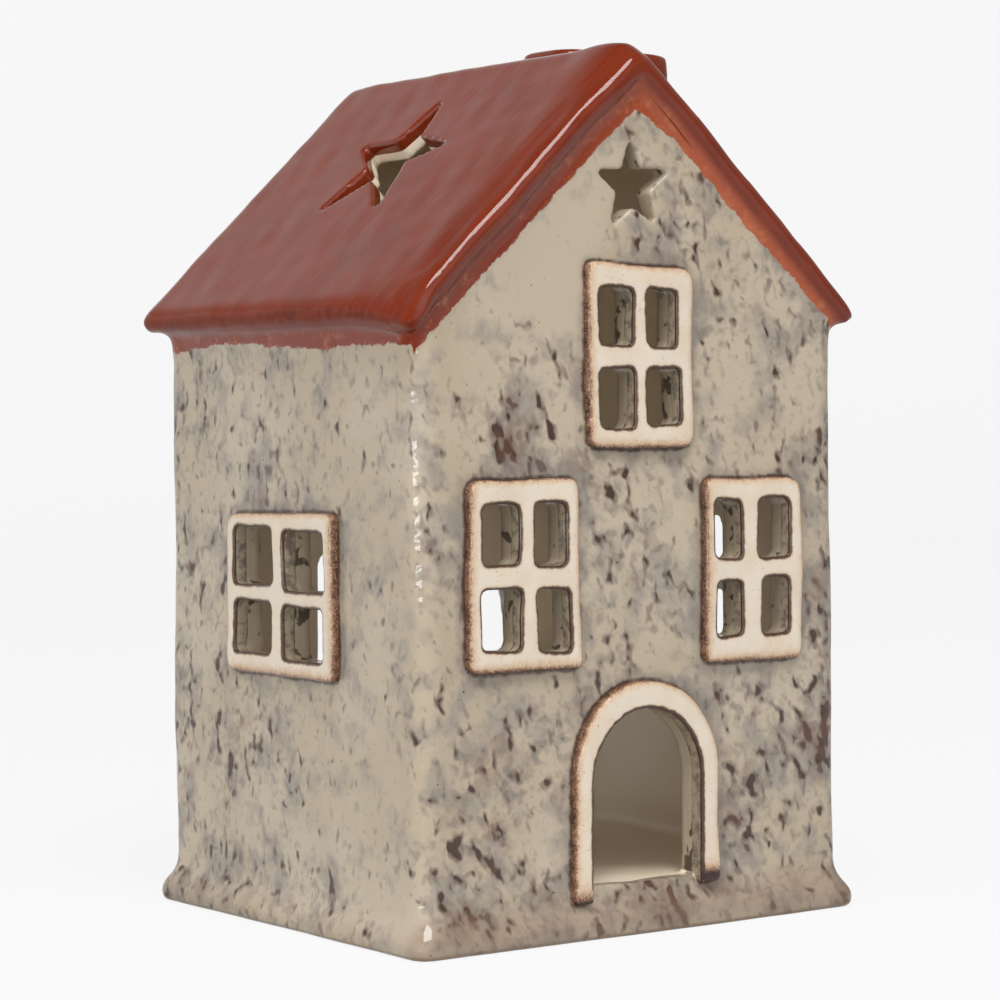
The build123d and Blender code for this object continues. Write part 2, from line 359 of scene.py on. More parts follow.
room_gable = [
    (slab - half_width, floor_z),
    (half_width - slab, floor_z),
    (half_width - slab, underside(half_width - slab)),
    (0, inner_ridge),
    (slab - half_width, underside(half_width - slab)),
]
room = straight("room", soft_outline(room_gable, 2.0, 3), "y", front_y + slab, back_y - slab)
foot_ring, hollow_height = 8.0, 4.5
hollow_plan = plan(half_width - foot_ring, half_depth - foot_ring, foot_corner)
hollow = straight("hollow", hollow_plan, "z", -2, hollow_height)
flue_share = (stack_half - slab) / stack_half
flue_corners = [stack_middle + (corner - stack_middle) * flue_share for corner in stack_corners]
over = 3.0
flue_outline = soft_outline(flue_corners, flue_corner, 5)
flue = straight("flue", flue_outline, "z", underside(half_width) + 6, chimney_high[2] + over)
cuts = [room, hollow, flue]
front_cuts = [doorway, gable_star]
for name, (wall, frame_corners, panes) in windows.items():
    if wall == "front_wall":
        front_cuts += pane_outlines[name]
    else:
        near, far = box_mm(wall)[0][0] - over, box_mm(wall)[1][0] + over
        cuts += [straight("pane", outline, "x", near, far) for outline in pane_outlines[name]]
near, far = front_y - over, front_y + slab + over
cuts += [straight("front_cut", outline, "y", near, far) for outline in front_cuts]
cuts.append(straight("back_arch", back_arch, "y", back_y - slab - over, back_y + over))

# The large star is cut square to the left slope
slope_out = np.array((-sin(pitch), 0, cos(pitch)))
slope_up = np.array((cos(pitch), 0, sin(pitch)))
star_low, star_high = 29.4, 3.8
star_middle = np.array((0, star_high, outer_ridge)) - slope_up * star_low
rings = []
for depth in (-slab - over, over):
    middle = star_middle + slope_out * depth
    rings.append([middle + slope_up * v - np.array((0, u, 0)) for u, v in roof_star])
cuts.append(through("roof_star", rings))
combine(body, cuts, "DIFFERENCE")


def as_clay(made, step):
    """Makes one even skin of the object, with points about a step apart."""
    remesh = made.modifiers.new("clay", "REMESH")
    remesh.mode = "VOXEL"
    remesh.voxel_size = step
    apply_modifiers(made)


clay_step = 0.6
as_clay(body, clay_step)


def read_points(mesh):
    """The mesh's points as rows of numbers."""
    flat = np.empty(len(mesh.vertices) * 3)
    mesh.vertices.foreach_get("co", flat)
    return flat.reshape(-1, 3)


def ramp(values, low, high):
    """0 below low, 1 above high and a smooth rise between, or a fall where low is above high."""
    share = np.clip((values - low) / (high - low), 0, 1)
    return share * share * (3 - 2 * share)


def below_roof(where):
    """Depth under the roof's outer planes, square to the slope."""
    return (outer_ridge - np.abs(where[:, 0]) * tan(pitch) - where[:, 2]) * cos(pitch)


def rub(made, name, weights, rounds):
    """Smooths the object where the weights say, as a wet finger does."""
    group = made.vertex_groups.new(name=name)
    for level in range(1, 9):
        chosen = np.flatnonzero(np.round(weights * 8) == level)
        group.add(chosen.tolist(), level / 8, "REPLACE")
    smooth = made.modifiers.new(name, "SMOOTH")
    smooth.factor = 0.5
    smooth.iterations = max(1, rounds)
    smooth.vertex_group = name
    apply_modifiers(made)
    made.vertex_groups.clear()


# A wet finger rounded the roof's rims, the joint under the eaves and the chimney's foot
points = read_points(body.data)
depth = below_roof(points)
from_end = np.minimum(points[:, 1] - roof_low[1], roof_high[1] - points[:, 1])
rubbed = ramp(from_end, 6.5, 4.0) * ramp(depth, slab + 6, slab + 2)
at_eave = ramp(np.abs(points[:, 0]), half_width - 1.2, half_width) * ramp(points[:, 2], 106, 110)
rubbed = np.maximum(rubbed, at_eave * ramp(points[:, 2], 123, 121))
off_stack = (np.abs(points[:, :2] - stack_middle) - stack_half).max(axis=1)
stack_foot = ramp(off_stack, 4, 2) * ramp(off_stack, -2.5, -1) * ramp(np.abs(depth), 4, 2)
stack_rim = ramp(points[:, 2], chimney_high[2] - 4, chimney_high[2] - 2.5)
rubbed = np.maximum(rubbed, np.maximum(stack_foot, stack_rim * 0.6))
finer = (0.6 / clay_step) ** 2
rub(body, "fired", np.ones(len(points)), round(3 * finer))
rub(body, "finger", rubbed, round(55 * finer))

# The joints between the slabs, as straight-sided regions. Each lies a little past the inner face
# of its slab, so that no joint runs along a face of the room
lap, far = 0.8, 90.0
stack_lift, stack_room = 1.3, 4.0
joint_z, eave_joint, ridge_joint = floor_z + lap, underside(far) - lap, inner_ridge - lap
high = 3 * far
stack_ends = (chimney_low[0] - stack_room, chimney_high[0] + stack_room)
stack_side = [(x, outer_ridge - x * tan(pitch) + stack_lift) for x in stack_ends]
stack_side += [(stack_ends[1], high), (stack_ends[0], high)]
walls_side = [(-far, joint_z), (far, joint_z), (far, eave_joint), (0, ridge_joint), (-far, eave_joint)]
left_side = [(-far, joint_z), (0, joint_z), (0, ridge_joint), (-far, eave_joint)]
left_roof = [(0, ridge_joint), (0, high), (-far, high), (-far, eave_joint)]
regions = {
    "chimney": (stack_side, chimney_low[1] - stack_room, chimney_high[1] + stack_room),
    "base_slab": ([(-far, -far), (far, -far), (far, joint_z), (-far, joint_z)], -far, far),
    "front_wall": (walls_side, -far, front_y + slab + lap),
    "back_wall": (walls_side, back_y - slab - lap, far),
    "left_wall": (left_side, front_y + slab + lap, back_y - slab - lap),
    "right_wall": ([(-x, z) for x, z in left_side], front_y + slab + lap, back_y - slab - lap),
    "left_roof_slab": (left_roof, -far, far),
    "right_roof_slab": ([(-x, z) for x, z in left_roof], -far, far),
}


def region(name):
    """The region of a piece as a solid."""
    outline, near, end = regions[name]
    return straight("region", outline, "y", near, end)


house = {}
for name in regions:
    piece = bpy.data.objects.new(name + "_clay", body.data.copy())
    bpy.context.scene.collection.objects.link(piece)
    combine(piece, [region(name)], "INTERSECT")
    if name == "right_roof_slab":
        combine(piece, [region("chimney")], "DIFFERENCE")
    house[name] = piece
bpy.data.objects.remove(body)


# How the soft slabs bulged and sagged by hand and in the kiln
settle, ripple, dimple = 0.3, 0.1, 0.035
eave_sag, rim_bend, ridge_swell, ridge_drop = 1.9, 0.7, 0.8, 1.5
low_corner, high_corner = (np.array(corner) / MM for corner in cad_box)


def waves(where, size, seed, count=16):
    """Three smooth random fields at the places, with hills about the size apart."""
    chance = np.random.default_rng(seed)
    fields = np.zeros((len(where), 3))
    for _ in range(count):
        along = chance.normal(size=3)
        along *= 2 * pi * chance.uniform(0.6, 1.4) / size / np.linalg.norm(along)
        fields += np.sin((where @ along)[:, None] + chance.uniform(0, 2 * pi, 3)) * chance.normal(size=3)
    return fields / sqrt(count)


def slumped(where):
    """The places after the slabs have moved, kept just inside the size of the solids."""
    moved = where + waves(where, 95, 1) * settle + waves(where, 26, 2) * ripple
    moved += waves(where, 9, 3) * dimple
    moved[:, 2] += (where[:, 2] - moved[:, 2]) * ramp(where[:, 2], 9, 2)
    # The front corner of the left eave hangs lowest
    lip = ramp(-where[:, 0], half_width - 3, half_width + 1)
    lip *= ramp(where[:, 2], 124, 119) * ramp(where[:, 2], 100, 110)
    moved[:, 2] -= eave_sag * lip * ramp(where[:, 1], roof_low[1] + 26, roof_low[1] + 2)
    # The slopes bend down a little towards their front rim
    bend = ramp(where[:, 1], roof_low[1] + 14, roof_low[1]) ** 2 * ramp(below_roof(where), 3, 1)
    moved[:, 2] -= rim_bend * bend
    # The ridge swells behind its front end and rolls off there
    crest = np.exp(-((where[:, 0] / 9) ** 2)) * ramp(where[:, 2], 152, 162)
    from_front = where[:, 1] - roof_low[1]
    swell = ridge_swell * np.exp(-(((from_front - 11) / 8) ** 2))
    moved[:, 2] += crest * (swell - ridge_drop * ramp(from_front, 6, 0))
    return np.clip(moved, low_corner + 0.02, high_corner - 0.02)


def write_points(mesh, where):
    """Moves the mesh's points to the places."""
    mesh.vertices.foreach_set("co", where.astype(np.float32).ravel())
    mesh.update()


def write_field(mesh, name, values):
    """A number for each point of the mesh, which its glaze reads."""
    field = mesh.attributes.new(name, "FLOAT", "POINT")
    field.data.foreach_set("value", values.astype(np.float32))


def to_outline(where, outline):
    """Distance from flat places to a closed outline."""
    nearest = np.full(len(where), 1e3)
    for start, end in zip(outline, np.roll(outline, -1, axis=0)):
        along = end - start
        share = np.clip(((where - start) @ along) / max(along @ along, 1e-9), 0, 1)
        gap = where - start - share[:, None] * along
        nearest = np.minimum(nearest, np.hypot(gap[:, 0], gap[:, 1]))
    return nearest


def mark_joints(mesh, outline, near, end):
    """Keeps the edges sharp between the glazed skin and the hidden joint faces."""
    where = read_points(mesh)
    touching = 1e-3
    joints = [np.abs(where[:, 1] - near) < touching, np.abs(where[:, 1] - end) < touching]
    for start, stop in zip(outline, outline[1:] + outline[:1]):
        aside = np.array((stop[1] - start[1], start[0] - stop[0]))
        gap = (where[:, [0, 2]] - start) @ aside / np.linalg.norm(aside)
        joints.append(np.abs(gap) < touching)
    joints = np.array(joints)
    corner_points = np.empty(len(mesh.loops), int)
    mesh.loops.foreach_get("vertex_index", corner_points)
    corner_edges = np.empty(len(mesh.loops), int)
    mesh.loops.foreach_get("edge_index", corner_edges)
    starts = np.empty(len(mesh.polygons), int)
    mesh.polygons.foreach_get("loop_start", starts)
    hidden = np.logical_and.reduceat(joints[:, corner_points], starts, axis=1).any(axis=0)
    totals = np.diff(np.append(starts, len(mesh.loops)))
    hidden_at_edge = np.bincount(corner_edges, np.repeat(hidden, totals), len(mesh.edges))
    sharp = mesh.attributes.new("sharp_edge", "BOOLEAN", "EDGE")
    sharp.data.foreach_set("value", hidden_at_edge == 1)


# Places on the front where the flecks crowd, as x, z, reach and strength
crowded = [
    (-31, 103, 10, 0.6),
    (-38, 112, 6, -1.3),
    (0, 60, 9, 0.7),
    (-28, 92, 7, 1.5),
    (-44, 68, 10, 1.2),
    (-44, 34, 14, 0.6),
    (-27, 36, 12, 0.5),
    (0, 74, 12, 0.6),
    (18, 107, 8, 0.9),
    (10, 133, 8, 1.1),
    (-3, 130, 6, 0.9),
    (12, 152, 8, 0.8),
    (46, 66, 8, 1.0),
    (48, 92, 7, 1.2),
    (47, 32, 9, 1.4),
    (26, 22, 12, 1.1),
    (-9, 48, 7, 0.9),
    (-42, 7, 6, 1.0),
    (-24, 9, 7, 0.7),
    (4, 4, 8, 0.6),
    (24, 44, 8, 0.8),
    (42, 40, 10, 0.7),
    (-13, 90, 6, 1.0),
    (-22, 126, 13, -2.4),
]
skin = 1.6
side_red_z = 112.4
for name, piece in house.items():
    mesh = piece.data
    mark_joints(mesh, *regions[name])
    where = read_points(mesh)
    x, y, z = where.T
    depth = below_roof(where)
    inside = (np.abs(x) < half_width - slab / 2) & (y > front_y + slab / 2) & (y < back_y - slab / 2)
    inside &= (depth > slab / 2) & (z > floor_z / 2)
    off_flue = (np.abs(where[:, :2] - stack_middle) - stack_half).max(axis=1)
    inside |= (off_flue < -slab / 2) & (z < chimney_high[2] - 2.5) & (z > roof_low[2] + slab)
    # The red glaze was brushed over the roof and some way down the walls, unevenly
    drop = np.interp(x, [-half_width, -8, 0, 10, half_width], [3.6, 4.6, 4.9, 2.4, 1.0])
    line = underside(x) - drop / cos(pitch)
    side = (np.abs(x) > half_width - 1.2) & (y > front_y + 2) & (y < back_y - 2)
    line[side] = side_red_z + 0.8 * np.sin(y[side] / 11)
    red = z - line
    red[inside] = -5
    write_field(mesh, "red", red)
    write_field(mesh, "depth", depth)
    write_field(mesh, "inside", inside.astype(float))
    crowd_and_shade = ramp(z, 14, 5) * np.where(y < front_y + 3, 0.45, 0.1)
    crowd_and_shade += (0.9 * ramp(y, -30, 20) - 0.4) * (x < 2 - half_width)
    to_trim = np.full(len(where), 9.0)
    if name in ("front_wall", "base_slab"):
        on_face = y < front_y + skin
        # On the front face the flecks crowd more towards the bottom and the right edge. At the right edge
        # this darkening is also painted shade.
        crowd_and_shade += on_face * (0.3 * ramp(z, 70, 20) + 0.8 * ramp(x, 38, 49) - 0.15)
        for across, up, reach, strength in crowded:
            crowd_and_shade += on_face * strength * np.exp(-(((x - across) ** 2 + (z - up) ** 2) / reach**2))
    # The cut faces of the openings in the front and side walls
    cut = np.zeros(len(where), bool)
    if name == "front_wall":
        cut = (y > front_y + 0.7) & (y < front_y + slab - 0.2)
        cut &= (np.abs(x) < half_width - 6) & (depth > slab)
    if name in ("left_wall", "right_wall"):
        cut = (np.abs(x) < half_width - 0.7) & (np.abs(x) > half_width - slab + 0.2)
        cut &= (np.abs(y - mid_y) < 24) & (np.abs(z - 65) < 20)
    cut &= z > floor_z + 0.5
    write_field(mesh, "cut", cut.astype(float))
    # Dark pools ran together in the panes, and at the foot of the doorway's right side. In the panes they
    # are also painted shade and dark reflection.
    at_door = (np.abs(x - door_x) < door_half + 2) & (z < 56) & (y < 0)
    pools_and_shade = 1.9 * ramp(z, 26, 11) * (x > door_x) * ramp(y, front_y + 6.5, front_y + 1.5) - 1
    write_field(mesh, "pools_and_shade", np.where(at_door, pools_and_shade, 0.0))
    for window, (wall, corners, panes) in windows.items():
        if name in (wall, "base_slab"):
            across = [0, 2] if wall == "front_wall" else [1, 2]
            near_window = to_outline(where[:, across], frame_outlines[window])
            facing = y < front_y + skin if wall == "front_wall" else np.abs(x) > half_width - skin
            to_trim = np.minimum(to_trim, np.where(facing, near_window, 9.0))
    if name in ("front_wall", "base_slab"):
        near_door = to_outline(where[:, [0, 2]], surround_outline)
        beside = (y < front_y + skin) & ((z > floor_z) | (np.abs(x - door_x) > door_half))
        to_trim = np.minimum(to_trim, np.where(beside, near_door, 9.0))
    write_field(mesh, "crowd_and_shade", crowd_and_shade)
    write_field(mesh, "to_trim", to_trim)
    write_points(mesh, slumped(where) * MM)


# The body's glazes: speckled beige on the walls, red-brown on the roof, plain grey-beige inside
# The beige broke into grey clouds and dark iron flecks that ran a little as they melted. The red
# was brushed on over it, and is thin and orange where it ends.
def linear(colour):
    """A colour written as #rrggbb, in linear light."""
    levels = []
    for start in (1, 3, 5):
        level = int(colour[start : start + 2], 16) / 255
        levels.append(level / 12.92 if level <= 0.04045 else ((level + 0.055) / 1.055) ** 2.4)
    return (*levels, 1.0)


def add_node(tree, kind, *values, **named):
    """Adds a node. Values fill its sockets in order, and named values are a socket or a setting.
    Unless told otherwise, Math is the first value times the second plus the third, Mix is of two
    colours, and MapRange is a smooth rise."""
    made = tree.nodes.new("ShaderNode" + kind)
    usual = {
        "MapRange": ("interpolation_type", "SMOOTHSTEP"),
        "Math": ("operation", "MULTIPLY_ADD"),
        "Mix": ("data_type", "RGBA"),
    }
    if kind in usual:
        setattr(made, *usual[kind])
    for name, value in named.items():
        if hasattr(made, name):
            setattr(made, name, value)
    sockets = [socket for socket in made.inputs if socket.enabled]
    pairs = list(zip(sockets, values))
    for name, value in named.items():
        if not hasattr(made, name):
            socket_name = name.replace("_", " ")
            pairs.append((next(socket for socket in sockets if socket.name == socket_name), value))
    for socket, value in pairs:
        if isinstance(value, str):
            value = linear(value)
        if isinstance(value, bpy.types.Node):
            value = next(output for output in value.outputs if output.enabled)
        if isinstance(value, bpy.types.NodeSocket):
            tree.links.new(value, socket)
        else:
            socket.default_value = value
    return made


def new_material(name):
    """An empty material, what adds a node to it, and its place in millimetres."""
    made = bpy.data.materials.new(name)
    made.use_nodes = True
    made.node_tree.nodes.clear()
    add = partial(add_node, made.node_tree)
    place = add("TexCoord").outputs["Object"]
    return made, add, add("VectorMath", place, Scale=1 / MM, operation="SCALE")


def glazed_stoneware(name):
    """Stoneware under three glazes. Each noise has the scale 1 over its size in millimetres."""
    made, add, mm = new_material(name)
    x, y, z = add("SeparateXYZ", mm).outputs
    red, depth, inside, cut, pools_and_shade, crowd_and_shade, to_trim = (
        add("Attribute", attribute_name=field).outputs["Fac"]
        for field in ("red", "depth", "inside", "cut", "pools_and_shade", "crowd_and_shade", "to_trim")
    )

    # The beige, with grey clouds in it
    waver = add("TexNoise", mm, 1 / 3.0, 1.0, 0.4).outputs["Color"]
    waver = add("VectorMath", waver, (0.5, 0.5, 0.5), operation="SUBTRACT")
    waver = add("VectorMath", waver, Scale=2.1, operation="SCALE")
    melted = add("VectorMath", mm, waver, operation="ADD")
    broad = add("TexNoise", mm, 1 / 13)
    # Where the field says, flecks and clouds crowd. At the front's right edge this is also painted shade.
    crowding_and_shade = add("Math", crowd_and_shade, 0.075, -0.175)
    crowding_and_shade = add("Math", broad, 0.35, crowding_and_shade)
    tone = add("TexNoise", mm, 1 / 30)
    beige = add("Mix", add("MapRange", tone, 0.4, 0.65), "#b7a995", "#b0a18b")
    cloud = add("Math", add("TexNoise", melted, 1 / 6.5, 3.0, 0.55), 1.0, crowding_and_shade)
    clouded = add("MapRange", cloud, 0.44, 0.72, 0.0, 0.75)
    beige = add("Mix", clouded, beige, "#928a80")
    fine = add("Math", add("TexNoise", melted, 1 / 1.7, 2.0, 0.6), 1.0, crowding_and_shade)
    speckled = add("MapRange", fine, 0.52, 0.8, 0.0, 0.5)
    beige = add("Mix", speckled, beige, "#817970")

    # Iron flecks in it ran down a little as they melted: blurred ones, and dark ones with a core
    leaning = add("CombineXYZ", add("Math", z, 0.2, x), y, z)
    leaning = add("VectorMath", leaning, waver, operation="ADD")
    for size, run, low, high, strength, outer, core in (
        (1.9, 1.35, 0.535, 0.79, 0.62, "#766e67", "#51443b"),
        (2.2, 1.6, 0.62, 0.73, 0.70, "#6a5b52", "#3c2820"),
    ):
        stretch = (1 / size, 1 / size, 1 / size / run)
        stretched = add("VectorMath", leaning, stretch, operation="MULTIPLY")
        fleck = add("Math", add("TexNoise", stretched, 1.0, 1.0, 0.3), 1.0, crowding_and_shade)
        beige = add("Mix", add("MapRange", fleck, low, high, 0.0, strength), beige, outer)
        dark = add("MapRange", fleck, high - 0.01, high + 0.05, 0.0, 0.9)
        beige = add("Mix", dark, beige, core)
    smudge = add("Math", add("TexNoise", melted, 1 / 5, 3.0, 0.6), 1.0, crowding_and_shade)
    smudge = add("MapRange", smudge, 0.58, 0.74, 0.0, 0.26)
    beige = add("Mix", smudge, beige, "#7c5443")
    pits = add("MapRange", add("TexNoise", mm, 1 / 0.9, 1.0), 0.78, 0.82)
    beige = add("Mix", pits, beige, "#3a2c26")

    # It gathered grey round each frame and dark in the joint, and was wiped off the foot's low edge
    halo = add("Math", cloud, -7.0, to_trim)
    beige = add("Mix", add("MapRange", halo, 0.0, -3.2, 0.0, 0.45), beige, "#7d736c")
    joint_edge = add("Math", fine, -0.9, to_trim)
    gathered = add("MapRange", joint_edge, 0.35, -0.3, 0.0, 0.85)
    beige = add("Mix", gathered, beige, "#3b2a22")
    # The foot is darker towards the bottom, most on the front face
    at_front = add("MapRange", y, -44.5, -48.0, 0.0, 0.4)
    at_foot = add("MapRange", z, 11.5, 4.0)
    darker_foot = add("Math", at_foot, add("Math", at_front, 1.0, 0.09), 0.0)
    beige = add("Mix", darker_foot, beige, "#7b6555")
    beige = add("Mix", add("MapRange", z, 1.1, 0.4, 0.0, 0.8), beige, "#7c6853")

    # Inside is a plain pale glaze, with dark pools where it ran in the cut faces. In the panes these pools
    # are also painted shade and dark reflection.
    plain = add("Mix", add("MapRange", tone, 0.35, 0.7), "#f4e6cf", "#eddcc2")
    pool_and_shade = add("Math", pools_and_shade, 0.17, add("TexNoise", melted, 1 / 3.6))
    pool_and_shade = add("Math", add("MapRange", pool_and_shade, 0.58, 0.64, 0.0, 0.85), cut, 0.0)
    skin = add("Mix", inside, beige, plain)
    skin = add("Mix", cut, skin, "#b0a18c")
    skin = add("Mix", pool_and_shade, skin, "#3a2d25")

    # Brush strokes of the red run down the slopes, a little askew
    strokes = add("CombineXYZ", add("Math", z, 0.22, y), add("Math", z, 0.16, 0.0))
    stroke = add("TexNoise", strokes, 1 / 1.9, 3.0, 0.55)
    patch = add("TexNoise", mm, 1 / 24, 3.0, 0.6)
    dense = add("Mix", add("MapRange", stroke, 0.3, 0.7), "#6c250e", "#762c15")
    dense = add("Mix", add("MapRange", patch, 0.52, 0.75, 0.0, 0.4), dense, "#5a2d22")
    # Where it is thin, at its lower edge, it is orange, and dark drops stand along the left eave
    fray = add("TexNoise", mm, 1 / 2.6, 3.0, 0.65)
    thin = add("Mix", add("MapRange", x, -30, 25), "#7c2e18", "#a65030")
    thin = add("Mix", add("MapRange", fray, 0.5, 0.75, 0.0, 0.45), thin, "#c07850")
    thinning = add("MapRange", add("Math", patch, 1.6, depth), 5.0, 6.4)
    coat = add("Mix", thinning, dense, thin)
    drop = add("MapRange", add("TexNoise", melted, 1 / 2.2, 1.0), 0.5, 0.56)
    at_drops = add("Math", add("MapRange", x, -52.9, -53.5, 0.0, 0.8), drop, 0.0)
    at_drops = add("Math", add("MapRange", z, 116.0, 117.0), at_drops, 0.0)
    coat = add("Mix", at_drops, coat, "#5c1c0c")
    red_edge = add("Math", fray, 2.6, red)
    covered = add("MapRange", red_edge, 1.15, 1.5)
    colour = add("Mix", covered, skin, coat)

    # The brush, the pits and the red's edge are felt. A finger left the two left corners uneven
    height = add("Math", add("TexNoise", mm, 1 / 1.8), 0.012, 0.0)
    height = add("Math", stroke, add("Math", covered, 0.02, 0.0), height)
    height = add("Math", pits, -0.05, height)
    corner = add("MapRange", add("Math", x, 1.0, y), -90.5, -94.0, 0.0, 0.2)
    height = add("Math", add("TexNoise", mm, 1 / 3.4, 1.0), corner, height)
    height = add("Math", add("MapRange", red_edge, 0.8, 1.9), 0.1, height)
    bump = add("Bump", Distance=MM, Height=height)
    # The glaze is duller inside, on the eave's nose and just behind the front rim
    rough = add("Math", inside, 0.3, 0.08)
    dull = add("Math", add("MapRange", y, -46.8, -45.4), covered, 0.0)
    dull = add("Math", add("MapRange", y, -38.0, -44.0), dull, 0.0)
    dull = add("Math", add("MapRange", x, -50.5, -52.5), dull, operation="MAXIMUM")
    gloss = add("Math", dull, -0.36, 0.5)
    feel = {"Roughness": rough, "IOR": 1.42, "Specular_IOR_Level": gloss}
    add("OutputMaterial", add("BsdfPrincipled", colour, Normal=bump, **feel))
    return made


def finish_surface(piece, material):
    """Gives the piece one material and smooth shading."""
    piece.data.materials.clear()
    piece.data.materials.append(material)
    piece.data.polygons.foreach_set("use_smooth", np.ones(len(piece.data.polygons), bool))


def dress(piece, node, body, material):
    """Puts the piece in a node's place, on a body, with a material in a slot."""
    finish_surface(piece, material)
    piece.name = node + "_visual"
    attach(piece, body)
    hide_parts(node)


fired = glazed_stoneware("glazed_stoneware")
for name, piece in house.items():
    dress(piece, name, "house", fired)


# Window frames
# Flat cross-barred plates of white clay, pressed on to the wall with slip and cut through with
# it. Their cream glaze burnt brown along every edge.
def inset(outline, by):
    """The outline drawn in towards its own inside."""
    before, after = np.roll(outline, 1, axis=0), np.roll(outline, -1, axis=0)
    along = (after - before) / np.linalg.norm(after - before, axis=1)[:, None]
    turning = np.sign(np.sum(outline[:, 0] * after[:, 1] - outline[:, 1] * after[:, 0]))
    return outline + turning * by * np.stack((-along[:, 1], along[:, 0]), axis=1)


def pressed_on(name, outline, holes, axis, across, face, root, rounds):
    """A plate of clay on a wall, rounded by the given rounds at its outer edge and at its holes."""
    step = 0.32
    near, end = sorted((face, root))
    plate = straight(name, outline, axis, near, end)
    combine(plate, [straight("hole", hole, axis, near - over, end + over) for hole in holes], "DIFFERENCE")
    as_clay(plate, step)
    flat = read_points(plate.data)[:, across]
    to_hole = np.min([to_outline(flat, hole) for hole in holes], axis=0)
    finer = (0.32 / step) ** 2
    rub(plate, "outer", ramp(to_hole, 0.5, 2.0), round(rounds[0] * finer))
    rub(plate, "inner", np.ones(len(flat)), round(rounds[1] * finer))
    return plate


def burn(piece, across, face, outline, holes, hot):
    """Writes how burnt the glaze is at each point, and how far it lies behind the face."""
    where = read_points(piece.data)
    flat = where[:, across]
    to_rim = to_outline(flat, outline)
    to_hole = np.min([to_outline(flat, hole) for hole in holes], axis=0)
    burnt = np.maximum(0.68 * np.exp(-to_rim / 0.95), 0.62 * np.exp(-to_hole / 0.7))
    for ends, strength, width in hot:
        burnt = np.maximum(burnt, strength * np.exp(-to_outline(flat, np.array(ends)) / width))
    write_field(piece.data, "burnt", burnt)
    write_field(piece.data, "to_hole", to_hole)
    write_field(piece.data, "behind", np.abs(where[:, 3 - sum(across)] - face))
    write_points(piece.data, slumped(where) * MM)


def cream_glazed_clay(name, relief):
    """White clay under a cream glaze, peach where it is thin and brown where it burnt."""
    made, add, mm = new_material(name)
    burnt, to_hole, behind = (
        add("Attribute", attribute_name=field).outputs["Fac"]
        for field in ("burnt", "to_hole", "behind")
    )
    ragged = add("TexNoise", mm, 1 / 1.7, 3.0, 0.6)
    grain = add("TexNoise", mm, 1 / 0.4, 2.0, 0.7)
    heat = add("Math", ragged, 0.5, burnt)
    heat = add("Math", burnt, -0.15, heat)
    heat = add("Math", grain, add("Math", burnt, 1.3, 0.1), heat)
    tone = add("TexNoise", mm, 1 / 7)
    colour = add("Mix", add("MapRange", tone, 0.35, 0.7), "#d8ccbb", "#d4c4af")
    for cool, hot, burn_colour in (
        (0.45, 0.95, "#c7aa8c"),
        (0.85, 1.25, "#83604a"),
        (1.2, 1.5, "#37231b"),
    ):
        colour = add("Mix", add("MapRange", heat, cool, hot), colour, burn_colour)
    # A dark line marks the cut edge of each pane, and the joint with the wall
    edge = add("Math", ragged, -0.7, to_hole)
    colour = add("Mix", add("MapRange", edge, 0.4, 0.0, 0.0, 0.9), colour, "#36211a")
    specks = add("MapRange", add("TexNoise", mm, 1 / 0.5, 1.0), 0.72, 0.77, 0.0, 0.6)
    colour = add("Mix", specks, colour, "#8a5a3c")
    # The cut sides of the pane holes are grey glaze, painted darker as shade in the holes' depth
    shaded_reveal = add("Mix", add("MapRange", ragged, 0.4, 0.65), "#a2967f", "#756a60")
    at_shaded_reveal = add("MapRange", behind, 0.55, 0.8)
    at_shaded_reveal = add("Math", add("MapRange", to_hole, 0.9, 0.5), at_shaded_reveal, 0.0)
    colour = add("Mix", at_shaded_reveal, colour, shaded_reveal)
    joint = add("Math", ragged, 0.7, behind)
    joint = add("MapRange", joint, relief + 0.05, relief + 0.35, 0.0, 0.9)
    joint = add("Math", joint, add("MapRange", to_hole, 0.8, 1.4), 0.0)
    colour = add("Mix", joint, colour, "#55382a")
    height = add("Math", grain, 0.006, add("Math", ragged, 0.03, 0.0))
    bump = add("Bump", Distance=MM, Height=height)
    shader = add("BsdfPrincipled", colour, Roughness=0.14, IOR=1.42, Normal=bump)
    add("OutputMaterial", shader)
    return made


frame_relief = 1.8
frame_root = 1.5
glaze = 0.12
frame_places = {
    "front_wall": ("y", [0, 2], front_y - frame_relief, front_y + frame_root),
    "left_wall": ("x", [1, 2], -half_width - frame_relief, frame_root - half_width),
    "right_wall": ("x", [1, 2], half_width + frame_relief, half_width - frame_root),
}
cream = cream_glazed_clay("cream_glazed_clay", frame_relief)
for name, (wall, frame_corners, panes) in windows.items():
    axis, across, face, root = frame_places[wall]
    outline = frame_outlines[name]
    holes = [inset(hole, glaze) for hole in pane_outlines[name]]
    plate = pressed_on(name, outline, holes, axis, across, face, root, (20, 7))
    low_left, low_right, high_left = (frame_corners[i] for i in (0, 1, 3))
    hot = [((low_left, high_left), 0.7, 1.3), ((low_left, low_right), 0.82, 1.5)]
    burn(plate, across, face, outline, holes, hot)
    dress(plate, name, "house", cream)

# Door surround
# A rounded strip of white clay bent round the doorway, under the same cream glaze. Its left leg
# is pressed out on to the foot's flare, and both ends burnt dark.
surround_relief = 2.1
inner = inset(doorway, glaze)
inner[inner[:, 1] < floor_z + 0.4, 1] = floor_z - 8
face = front_y - surround_relief
root = front_y + frame_root
plate = pressed_on("surround", surround_outline, [inner], "y", [0, 2], face, root, (40, 8))
left_leg, right_leg = (door_x + side * (door_half + surround_width / 2) for side in (-1, 1))
hot = [
    (((left_leg - 3, floor_z - 4), (left_leg + 3, floor_z - 4)), 1.3, 3.0),
    (((right_leg - 3, floor_z), (right_leg + 3, floor_z)), 1.1, 2.2),
]
burn(plate, [0, 2], face, surround_outline, [doorway], hot)
cream_strip = cream_glazed_clay("cream_glazed_strip", surround_relief)
dress(plate, "door_surround", "house", cream_strip)


